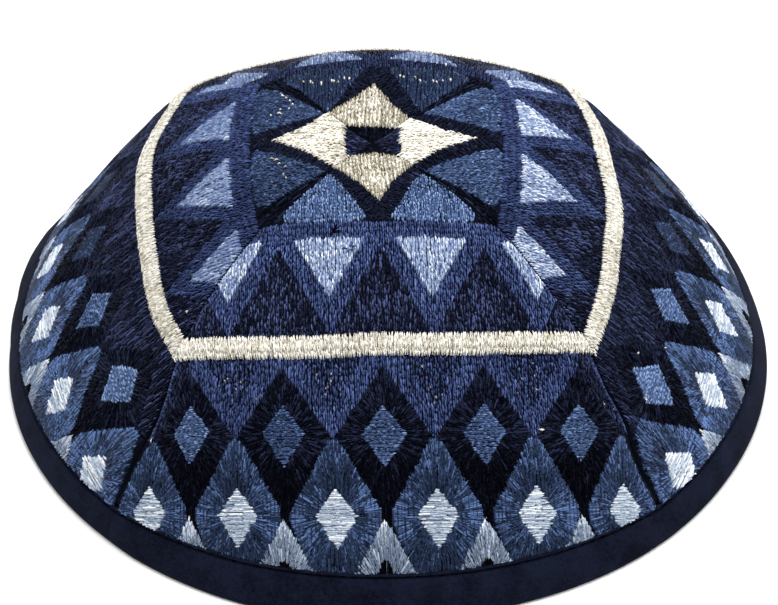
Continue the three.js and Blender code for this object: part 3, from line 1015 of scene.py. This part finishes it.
def embroider(panel, name, plans, seed, bridge=False, past_hem=0.5):
    """One piece of a panel's embroidery, from one or more plans of stitches."""
    sew = Stitches(panel, seed + panel, bridge, past_hem)
    for plan in plans:
        plan(sew)
    return lay_stitches(f"{name}_{sew.name}", sew)


def panel_shell(panel, name):
    """The panel's cloth, as a closed wall that is creased towards its seams."""
    rows, columns = 76, 60
    even = np.linspace(-1, 1, columns)
    shares = 0.3 * even + 0.7 * np.sin(even * math.pi / 2)
    distance = np.linspace(0, 1, rows) ** 0.9 * (PANEL_LENGTH - 1.2) + 0.15
    distance, share = np.meshgrid(distance, shares, indexing="ij")
    radius = np.interp(distance, ARC, RADII)
    share = share * np.clip(1 - SEAM_GAP / 2 / np.maximum(radius * HALF_PANEL, 0.1), 0, 1)
    sunk = crease(distance, share)
    past_hem = np.clip((distance - hem_distance(panel, share)) / 0.8 + 1, 0, 1)
    outer = cap_point(panel, distance, share, -0.1 - sunk - (BINDING_CLOTH + 0.2) * past_hem)
    inner = cap_point(panel, distance, share, -PANEL_WALL - sunk)
    points = np.concatenate([outer.reshape(-1, 3), inner.reshape(-1, 3)])
    half = rows * columns
    faces = [grid_faces(rows, columns), grid_faces(rows, columns, half, flip=True)]
    rim = np.concatenate([
        np.arange(rows) * columns,
        (rows - 1) * columns + np.arange(1, columns),
        np.arange(rows - 2, -1, -1) * columns + columns - 1,
        np.arange(columns - 2, 0, -1),
    ])
    after = np.roll(rim, -1)
    faces.append(np.stack([after, rim, rim + half, after + half], -1))
    look = np.repeat([0, 1, 0], [len(group) for group in faces])
    faces = np.concatenate(faces)
    arc = share * radius * HALF_PANEL
    flat = np.stack([arc, distance], -1).reshape(-1, 2)
    uv = np.concatenate([flat, flat])[faces.ravel()]
    return mesh_object(f"panel_cloth_{name}", points, [faces], [GROUND_CLOTH, LINING_CLOTH], uv, look)


# Down the binding's outside from its upper edge: how far its lip stands out, and its stitches' groove
LIP_AT = [0, 0.02, 0.05, 0.08, 0.11, 0.13, 0.15, 0.18, 0.22, 0.3]
LIP = [-0.5, 0.0, 0.22, 0.16, -0.25, -0.62, -0.3, -0.05, 0.03, 0.08]


def binding_ring():
    """The folded binding, with the small puckers of its seam."""
    around = 520
    turn = np.arange(around) / around * len(PANELS)
    panel = np.floor(turn)
    share = (2 * (turn - panel) - 1)[:, None]
    panel = panel[:, None]
    top = hem_distance(panel, share)
    wall = BINDING_CLOTH + PIECE_GAP + PANEL_WALL
    angle = (2 * panel + share) * HALF_PANEL
    ripple = np.sin(angle * 212 + 2 * np.sin(angle * 5)) * 0.5 + np.sin(angle * 61 + 1) * 0.3
    outer_part = np.array([*LIP_AT, 0.42, 0.56, 0.7, 0.84, 0.93, 1.0])
    distance = top + (PANEL_LENGTH - top) * outer_part
    puff = np.interp(outer_part, [*LIP_AT, 0.6, 1], [*LIP, 0.1, 0])
    pucker = 0.2 * ripple * np.exp(-(((outer_part - 0.15) / 0.12) ** 2))
    sway = 0.12 * np.sin(angle * 7 + 0.5) * np.sin(outer_part * math.pi)
    outer = cap_point(panel, distance, share, puff + pucker + sway)
    foot_in = np.array([0.02, 0.08, 0.2, 0.5, 0.8, 0.94])
    foot_up = np.array([0.55, 0.2, 0.0, 0.0, 0.0, 0.12])
    foot = place(panel, share, RIM_RADIUS - foot_in * wall, foot_up * RIM_HEIGHT)
    inner_part = np.array([1.0, 0.75, 0.5, 0.25, 0.04, 0.0])
    distance_in = top + (PANEL_LENGTH - top) * inner_part
    inside = cap_point(panel, distance_in, share, -wall)
    fold_end = PANEL_LENGTH - 0.9
    lip = cap_point(panel, top, share, -wall + BINDING_CLOTH)
    fold = cap_point(panel, fold_end, share, -wall + BINDING_CLOTH)
    fold_out = cap_point(panel, fold_end, share, -BINDING_CLOTH)
    lip_out = cap_point(panel, top, share, -BINDING_CLOTH - 0.1)
    section = np.concatenate([outer, foot, inside, lip, fold, fold_out, lip_out], 1)
    columns = section.shape[1]
    faces = grid_faces(around, columns, closed=True)
    run = np.concatenate([[0], np.cumsum(np.linalg.norm(np.diff(section[0], axis=0), axis=1))])
    along = np.arange(around) / around * 2 * math.pi * RIM_RADIUS
    uv = np.stack(np.broadcast_arrays(along[:, None], run), -1).reshape(-1, 2)[faces.ravel()]
    return mesh_object("binding", section.reshape(-1, 3), [faces], [BINDING_CLOTH_LOOK], uv)


# The photograph's angle, the point that it looks at, how far away it was taken, and its lens
ELEVATION = math.radians(40.27)
AZIMUTH = math.radians(-0.73)
TARGET = (0.43, 0.0, 15.75)
AWAY = 1039
LENS = 216.4
# Soft lights: name, place and size in metres, and power
LIGHTS = [
    ("key", (0.08, 0.05, 1.1), 0.75, 14.0),
    ("left", (-0.95, -0.1, 0.6), 0.7, 4.5),
    ("right", (0.95, -0.15, 0.6), 0.7, 5.5),
]


def stand_up(name, data, location, back):
    """A camera or a light at a place, looking against the direction back."""
    thing = bpy.data.objects.new(name, data)
    thing.location = location
    thing.rotation_mode = "QUATERNION"
    thing.rotation_quaternion = back.to_track_quat("Z", "Y")
    bpy.context.scene.collection.objects.link(thing)
    return thing


def studio():
    """Camera at the photograph's angle, a pale floor and soft light from above."""
    scene = bpy.context.scene
    level = math.cos(ELEVATION)
    back = Vector((math.sin(AZIMUTH) * level, -math.cos(AZIMUTH) * level, math.sin(ELEVATION)))
    data = bpy.data.cameras.new("camera")
    data.sensor_width = 36.0
    data.lens = LENS
    scene.camera = stand_up("camera", data, Vector(TARGET) * MM + back * AWAY * MM, back)
    bpy.ops.mesh.primitive_plane_add(size=6)
    floor = bpy.context.object
    floor.name = "floor"
    nodes = Nodes("floor_paper")
    nodes.shader.inputs["Base Color"].default_value = (0.9, 0.9, 0.89, 1)
    nodes.shader.inputs["Roughness"].default_value = 0.9
    floor.data.materials.append(nodes.material)
    for name, location, size, power in LIGHTS:
        data = bpy.data.lights.new(name, "AREA")
        data.size = size
        data.energy = power
        stand_up(name, data, location, Vector(location))
    world = bpy.data.worlds.new("world")
    scene.world = world
    world.use_nodes = True
    background = world.node_tree.nodes["Background"]
    background.inputs[0].default_value = (1, 1, 1, 1)
    background.inputs[1].default_value = 0.3
    scene.view_settings.view_transform = "Standard"


studio()
binding = binding_ring()
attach(binding, "root")
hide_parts("rim_binding")
for number, panel_name in enumerate(PANELS):
    shell = panel_shell(number, panel_name)
    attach(shell, "root")
    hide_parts(f"panel_{panel_name}")
    field = embroider(number, "embroidery", FIELD, 11)
    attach(field, "root")
    border = embroider(number, "border_stitches", [stitch_border], 31, bridge=True)
    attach(border, "root")
    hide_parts(f"border_{panel_name}")
    star = embroider(number, "star_stitches", [stitch_star], 51, bridge=True)
    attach(star, "root")
    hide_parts(f"star_petal_{panel_name}")
    line = embroider(number, "hem_stitches", [stitch_hem], 71, past_hem=4.0)
    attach(line, "root")
